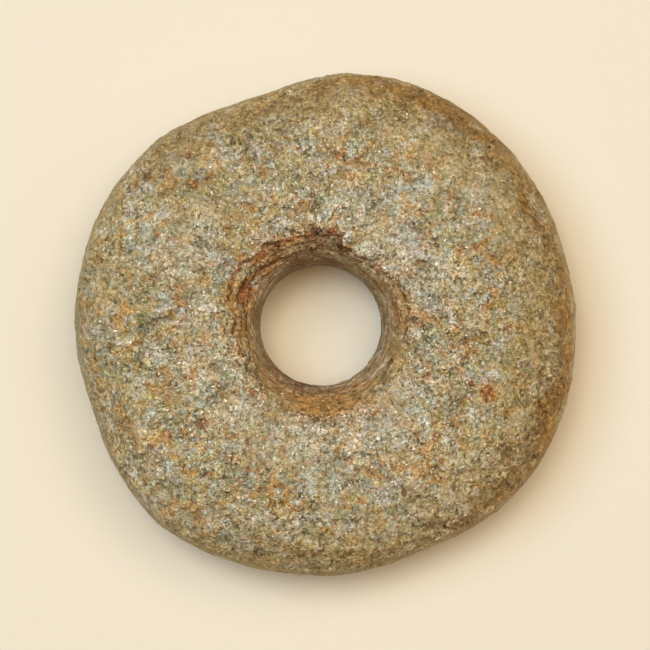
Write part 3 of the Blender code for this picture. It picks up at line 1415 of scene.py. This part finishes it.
    def break_mouth(self) -> tuple[np.ndarray, np.ndarray]:
        """Breaks the mouth's steps into the grid.

        Returns:
            How far inside the mouth's lip each point lies, and how near it is to a step's edge.
        """
        grid = self.grid
        bearing, reach = grid.bearing(), grid.reach()
        upper = grid.above(self.zones.steps)
        edges = np.zeros(reach.shape)
        for line in (self.lip, *self.ledges):
            lip, drop = line.track(bearing)
            inset = lip - reach
            fallen = ease(inset, (0, line.edge)) * ease(inset, (line.run, line.edge))
            grid.points[..., 2] -= fallen * drop * upper
            strength = np.clip(drop / self.full_drop, 0, 1) * line.rust * upper
            near = bell(inset - line.rust_place * line.edge, line.edge)
            edges = np.maximum(edges, near * strength)
        return self.lip.track(bearing)[0] - reach, edges

    def press_hollows(self) -> np.ndarray:
        """Presses the named chips and pits into the grid.

        Returns:
            How far each point is stained by the hollow it lies in.
        """
        grid = self.grid
        stain = np.zeros(grid.points.shape[:2])
        for hollow in self.hollows:
            dent = hollow.cover(grid)
            grid.points -= grid.normals * (dent * hollow.depth * MM)[..., None]
            stain = np.maximum(stain, dent * hollow.stain)
        return stain

    def masks(
        self, inset: np.ndarray, edges: np.ndarray, scars: np.ndarray
    ) -> dict[Mask, np.ndarray]:
        """Works out where the stone is worn, stained and stepped, and where light and shade are
        painted on it.

        Args:
            inset: How far inside the mouth's lip each point lies.
            edges: How near each point is to the edge of a step in the mouth.
            scars: How far each point is stained by a named hollow.

        Returns:
            The number field for each mask.
        """
        zones = self.zones
        bearing, reach = self.grid.bearing(), self.grid.reach()
        upper = self.grid.above(zones.upper)
        split = round_bell(bearing, *zones.split) * ease(reach, zones.past_wall) * upper
        wall = ease(inset, zones.bore_wall) * (1 - split)
        underside = ease(self.grid.points[..., 2], zones.underside) * (1 - wall)
        waist = ease(reach, zones.waist)
        in_mouth = ease(inset, zones.in_mouth)
        ochre = ease(inset, zones.mouth_ochre) * ease(reach, zones.past_waist) * upper
        pale = ease(reach, zones.pale) * ease(inset, zones.pale_lip) * upper
        # The wall's brown: a stain near the waist, and painted shade on the wall's top side
        dark = np.maximum(ease(reach, zones.dark_waist), round_bell(bearing, *zones.stained_shaded_wall))
        none = np.zeros(reach.shape)
        fields = self.outer_masks(bearing, reach)
        # Painted light and shade on the bore's wall by bearing, and painted light along the steps'
        # edges
        fields[Mask.LIGHT] += waist * by_bearing(self.painted_wall_shading, bearing) + self.painted_edge_light * edges
        fields[Mask.CRYSTALS] *= 1 - np.maximum(zones.mouth_loss * in_mouth, waist)
        fields[Mask.CRYSTALS] *= 1 - underside
        fields |= {
            Mask.INSET: inset,
            Mask.BORE_WALL: wall,
            Mask.OCHRE_STAIN: ochre * by_bearing(self.mouth_stain, bearing),
            Mask.PALE: pale * by_bearing(self.pale_share, bearing),
            Mask.WALL_STAIN: in_mouth * dark * by_bearing(self.wall_stain, bearing),
            Mask.BROWN_SPOTS: none,
            Mask.BROKEN: none,
            Mask.WAIST: waist,
            Mask.LEDGES: split * ease(inset, zones.ledges),
            Mask.STEP_EDGE: edges,
            Mask.SCARS: scars,
            Mask.UNDERSIDE: underside,
        }
        for blot in self.blots:
            share = blot.cover(self.grid) * blot.strength
            fields[blot.mask] = np.maximum(fields[blot.mask], share)
        return fields

    def outer_masks(self, bearing: np.ndarray, reach: np.ndarray) -> dict[Mask, np.ndarray]:
        """Works out the masks of the ring's outer side.

        Args:
            bearing: Each point's bearing.
            reach: Each point's distance from the bore's axis.

        Returns:
            The number field for each mask; those of painted shading and of crystals lack the
            mouth's share.
        """
        zones = self.zones
        upright = np.abs(self.grid.normals[..., 2])
        outer = ease(reach / self.grid.outline, zones.outer)
        side = ease(upright, zones.side) * outer
        edge = ease(upright, zones.edge) * outer
        rim = np.interp(ease(upright, zones.rim_foot), (0, 1), zones.rim_share)
        rim *= ease(upright, zones.rim) * outer
        brow = np.interp(ease(upright, zones.brow_foot), (0, 1), zones.brow_share)
        brow *= ease(upright, zones.brow) * outer
        worn = zones.worn_face + zones.worn_polish * round_bell(bearing, *zones.polished)
        worn *= ease(reach, zones.worn)
        return {
            Mask.SIDE: side,
            Mask.WORN: np.maximum(worn, zones.worn_side * side),
            Mask.OUTER: ease(reach, zones.browned) * by_bearing(self.outer_share, bearing),
            Mask.PATINA: brow * by_bearing(self.patina_share, bearing),
            # Painted light and shade on the rim, by bearing
            Mask.LIGHT: rim * by_bearing(self.painted_rim_shading, bearing),
            Mask.CRYSTALS: (1 - edge) * (1 - zones.outer_loss * ease(reach, zones.few_crystals)),
        }

    def relief_tree(self) -> GeometryGraph:
        """Builds the tree that pecks, pits and steps the stone's skin.

        Returns:
            The tree, ready to run.
        """
        graph = GeometryGraph.begin("pecked_relief")
        wall = graph.mask(Mask.BORE_WALL)
        lump = graph.noise(self.lump_size) - 0.5
        uneven = lump * graph.ask("Unevenness", self.unevenness) * (1.0 - wall * self.wall_evenness)
        calm = graph.math("MAXIMUM", graph.mask(Mask.WORN), graph.mask(Mask.SCARS))
        calm = graph.math("MAXIMUM", calm, graph.mask(Mask.LEDGES) * self.ledge_calm)
        rough = self.pecks(graph) * (1.0 - calm * self.worn_calm) * (1.0 - wall * self.wall_calm)
        rough *= graph.zones(self.roughness)
        step = self.layers(graph)
        raised = uneven + rough + step + self.striations(graph)
        inward = graph.math("MINIMUM", raised, 0.0)
        offset = raised + (inward - raised) * graph.mask(Mask.UNDERSIDE)
        shift = graph.scaled(graph.take("GeometryNodeInputNormal"), offset)
        feeds = {"Geometry": graph.geometry, "Offset": shift}
        moved = graph.take("GeometryNodeSetPosition", feeds)
        grounded = graph.vector("MAXIMUM", graph.place, (-1.0, -1.0, 0.0))
        feeds = {"Geometry": moved, "Position": grounded}
        lifted = graph.take("GeometryNodeSetPosition", feeds)
        stored = graph.store(lifted, Mask.RELIEF, (rough + step) / self.relief_unit)
        graph.finish(stored, self.finish.build())
        return graph

    def pecks(self, graph: GeometryGraph) -> Value:
        """Broken facets, crumbs and a few deeper pits.

        Args:
            graph: The tree.

        Returns:
            Their height.
        """
        lean = graph.ask("Facet lean", self.facet_lean)
        crooked = graph.bent(self.facet_size, self.facet_bend)
        coarse = graph.facets(self.facet_size, lean, crooked)
        fine = graph.facets(self.small_facet_size, lean, crooked)
        crumb = (graph.noise(self.crumb_size) - 0.5) * graph.ask("Crumb height", self.crumb_height)
        pits = graph.dots(self.pit_spacing, self.pit_edge, self.pit_chance, crooked)
        return coarse + fine + crumb - pits * graph.ask("Pit depth", self.pit_depth)

    def striations(self, graph: GeometryGraph) -> Value:
        """Fine grooves that the drilling left round the bore.

        Args:
            graph: The tree.

        Returns:
            Their height.
        """
        ring = graph.rolled(self.finish.bore_axis, self.striation_radius)
        height = graph.ask("Striation height", self.striation_height)
        lines = graph.noise(self.striation_pitch, at=ring) - 0.5
        return lines * height * graph.mask(Mask.BORE_WALL)

    def layers(self, graph: GeometryGraph) -> Value:
        """Thin broken layers on the mouth's ledges.

        Args:
            graph: The tree.

        Returns:
            Their height.
        """
        steps = graph.mask(Mask.INSET) / graph.ask("Ledge pitch", self.ledge_pitch)
        steps = graph.noise(self.ledge_wander, 3.0) * self.ledge_turns + steps
        phase = graph.math("FRACT", steps) - 0.5
        return phase * graph.ask("Ledge height", self.ledge_height) * graph.mask(Mask.LEDGES)


class CrystalForm(Enum):
    """The solid that stands for one crystal."""

    PLATE = "plate"
    GRAIN = "grain"


@dataclass
class CrystalScatter:
    """Thousands of small closed crystals that sit in the stone's skin."""

    name: str
    form: CrystalForm
    per_square_metre: float
    size: tuple[tuple[float, float, float], tuple[float, float, float]]
    tilt: float
    sink: float
    seed: int
    finish: CrystalFinish
    clump: float = 3.0 * MM
    clump_rise: Span = (0.36, 0.66)
    clump_density: Span = (0.35, 1.65)
    draws: int = field(default=0, init=False)

    def build(self, stone: bpy.types.Object) -> bpy.types.Object:
        """Scatters the crystals over the stone.

        Args:
            stone: The finished stone.

        Returns:
            The finished piece, one mesh of closed crystals.
        """
        piece = bpy.data.objects.new(self.name, stone.data.copy())
        bpy.context.scene.collection.objects.link(piece)
        self.tree().apply_to(piece)
        return piece

    def crystal(self, graph: GeometryGraph) -> Value:
        """The mesh of one crystal, a unit across.

        Args:
            graph: The tree.

        Returns:
            The crystal's mesh.
        """
        if self.form is CrystalForm.PLATE:
            feeds = {"Vertices": 6, "Radius": 0.5, "Depth": 1.0}
            return graph.take("GeometryNodeMeshCylinder", feeds, "Mesh", fill_type="NGON")
        feeds = {"Radius": 0.5, "Subdivisions": 1}
        return graph.take("GeometryNodeMeshIcoSphere", feeds, "Mesh")

    def tree(self) -> GeometryGraph:
        """Builds the tree that scatters the crystals.

        Returns:
            The tree, ready to run.
        """
        graph = GeometryGraph.begin(self.name)
        seed = graph.ask("Seed", self.seed)
        clump = graph.rise(graph.noise(self.clump, at=graph.moved(Part.CLUMPS)), self.clump_rise)
        most = graph.across(clump, self.clump_density) * graph.ask("Density", self.per_square_metre)
        density = graph.mask(Mask.CRYSTALS) * most
        feeds = {"Mesh": graph.geometry, "Density": density, "Seed": seed}
        spread = graph.add("GeometryNodeDistributePointsOnFaces", feeds)
        tilt = math.radians(self.tilt)
        lean = self.chance(graph, "FLOAT_VECTOR", (-tilt, -tilt, -math.pi), (tilt, tilt, math.pi))
        turn = graph.take("FunctionNodeEulerToRotation", {0: lean})
        feeds = {0: Value(graph, spread.outputs["Rotation"]), 1: turn}
        aligned = graph.take("FunctionNodeRotateRotation", feeds, rotation_space="LOCAL")
        feeds = {
            "Points": Value(graph, spread.outputs["Points"]),
            "Instance": self.crystal(graph),
            "Rotation": aligned,
            "Scale": self.chance(graph, "FLOAT_VECTOR", *self.size),
        }
        placed = graph.take("GeometryNodeInstanceOnPoints", feeds)
        feeds = {"Instances": placed, "Translation": (0.0, 0.0, -self.sink)}
        sunk = graph.take("GeometryNodeTranslateInstances", feeds)
        toned = graph.store(sunk, Mask.TONE, self.chance(graph, "FLOAT", 0.0, 1.0), "INSTANCE")
        feeds = {"Geometry": toned, "Shade Smooth": False}
        graph.finish(graph.take("GeometryNodeSetShadeSmooth", feeds), self.finish.build())
        return graph

    def chance(self, graph: GeometryGraph, kind: str, low: Feed, high: Feed) -> Value:
        """A random value for each crystal.

        Args:
            graph: The tree.
            kind: Whether the value is a number or a vector.
            low: The lowest value.
            high: The highest value.

        Returns:
            The value.
        """
        self.draws += 1
        node = graph.add("FunctionNodeRandomValue", data_type=kind)
        values = {"Min": low, "Max": high, "Seed": self.seed * 10 + self.draws}
        for socket in node.inputs:
            if socket.enabled and socket.name in values:
                graph.feed(socket, values[socket.name])
        return Value(graph, next(s for s in node.outputs if s.enabled))


@dataclass(frozen=True)
class SoftLamp:
    """A broad round lamp that looks at the stone."""

    name: str
    bearing: float
    elevation: float
    breadth: float
    # What the lamp adds to a white card's brightness in red, green and blue
    light: tuple[float, float, float]
    distance: float = 0.7

    def build(self) -> bpy.types.Object:
        """Places the lamp.

        Returns:
            The lamp.
        """
        bearing, elevation = math.radians(self.bearing), math.radians(self.elevation)
        data = bpy.data.lights.new(self.name, "AREA")
        data.shape = "DISK"
        data.size = 2 * self.distance * math.tan(math.radians(self.breadth) / 2)
        brightest = max(self.light)
        data.energy = brightest * (math.pi * self.distance) ** 2 / math.sin(elevation)
        data.color = tuple(value / brightest for value in self.light)
        lamp = bpy.data.objects.new(self.name, data)
        level = math.cos(elevation)
        way = Vector((level * math.cos(bearing), level * math.sin(bearing), math.sin(elevation)))
        lamp.location = way * self.distance
        lamp.rotation_euler = way.to_track_quat("Z", "Y").to_euler()
        bpy.context.scene.collection.objects.link(lamp)
        return lamp


@dataclass
class Studio:
    """The pale table, the soft lamps and the camera straight above."""

    grid: RingGrid
    picture_width: int = 650
    outline_pixels: float = 500.3
    outline_middle: tuple[float, float] = (325.4, 325.05)
    lens: float = 200.0
    sensor: float = 36.0
    table_width: float = 3.0
    sky: tuple[float, float, float] = (0.162, 0.116, 0.056)
    lamps: tuple[SoftLamp, ...] = (
        SoftLamp("cool_lamp", 156, 72, 27, (0.262, 0.366, 0.520)),
        SoftLamp("side_lamp", 46, 73, 25, (0.272, 0.258, 0.238)),
        SoftLamp("back_lamp", 118, 79, 12, (0.156, 0.141, 0.112)),
        SoftLamp("warm_lamp", 90, 89.9, 15, (0.146, 0.105, 0.052)),
        SoftLamp("low_lamp", 0, 56, 22, (0.030, 0.034, 0.048)),
    )

    def build_table(self) -> bpy.types.Object:
        """Lays the table under the stone.

        Returns:
            The table.
        """
        half = self.table_width / 2
        mesh = bpy.data.meshes.new("table")
        corners = [(-half, -half, 0), (half, -half, 0), (half, half, 0), (-half, half, 0)]
        mesh.from_pydata(corners, [], [(0, 1, 2, 3)])
        mesh.materials.append(TableFinish().build())
        table = bpy.data.objects.new("table", mesh)
        bpy.context.scene.collection.objects.link(table)
        return table

    def build_camera(self) -> bpy.types.Object:
        """Looks straight down from where the whorl fills the picture as it should.

        Returns:
            The camera.
        """
        data = bpy.data.cameras.new("camera")
        data.lens = self.lens
        data.sensor_width = self.sensor
        data.dof.use_dof = False
        camera = bpy.data.objects.new("camera", data)
        pixel = 2 * self.grid.outline / self.outline_pixels
        distance = self.picture_width * pixel * self.lens / self.sensor
        middle = self.picture_width / 2
        camera.location = (
            (middle - self.outline_middle[0]) * pixel,
            (self.outline_middle[1] - middle) * pixel,
            self.grid.mid_height + distance,
        )
        bpy.context.scene.collection.objects.link(camera)
        bpy.context.scene.camera = camera
        return camera

    def build(self) -> None:
        """Sets the table, the camera, the lamps and the even light of the room."""
        self.build_table()
        self.build_camera()
        for lamp in self.lamps:
            lamp.build()
        world = bpy.data.worlds.new("room")
        world.use_nodes = True
        background = world.node_tree.nodes["Background"]
        background.inputs["Color"].default_value = (*self.sky, 1.0)
        scene = bpy.context.scene
        scene.world = world
        scene.view_settings.view_transform = "Standard"


def crystal_kinds() -> list[CrystalScatter]:
    """The three kinds of crystals that sit in the stone.

    Returns:
        The scatters, in the order in which they are made.
    """
    mica_tones = ((0.0, Tint.PALE_GREY), (0.5, Tint.CREAM), (1.0, Tint.SNOW))
    quartz_tones = (
        (0.0, Tint.GREEN_GREY), (0.3, Tint.BLUE_GREY), (0.6, Tint.PALE_GREY), (1.0, Tint.CREAM),
    )
    rusty_tones = ((0.0, Tint.UMBER), (0.4, Tint.BROWN), (0.7, Tint.RUST), (1.0, Tint.OCHRE))
    return [
        CrystalScatter(
            "mica_flakes", CrystalForm.PLATE, 1.6e6,
            ((0.14 * MM, 0.07 * MM, 0.03 * MM), (0.38 * MM, 0.19 * MM, 0.06 * MM)),
            32, 0.012 * MM, 3, CrystalFinish("mica", mica_tones, 0.4, 0.1),
        ),
        CrystalScatter(
            "quartz_grains", CrystalForm.GRAIN, 0.5e6,
            ((0.16 * MM, 0.10 * MM, 0.10 * MM), (0.36 * MM, 0.24 * MM, 0.18 * MM)),
            30, 0.045 * MM, 5, CrystalFinish("quartz", quartz_tones, 0.5),
        ),
        CrystalScatter(
            "rusty_grains", CrystalForm.GRAIN, 0.4e6,
            ((0.14 * MM, 0.09 * MM, 0.10 * MM), (0.40 * MM, 0.22 * MM, 0.16 * MM)),
            30, 0.045 * MM, 7, CrystalFinish("rusty_grain", rusty_tones, 0.8),
        ),
    ]


def main() -> None:
    """Builds the stone, its crystals and the studio, and reports each piece."""
    logging.basicConfig(level=logging.INFO, format="%(name)s: %(message)s")
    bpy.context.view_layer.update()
    grid = RingGrid(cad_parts[NODE])
    stone = WhorlStone(grid).build()
    pieces = [stone] + [kind.build(stone) for kind in crystal_kinds()]
    for piece in pieces:
        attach(piece, BODY)
        LOG.info("%s: %d faces", piece.name, len(piece.data.polygons))
    Studio(grid).build()


if __name__ == "__main__":
    main()
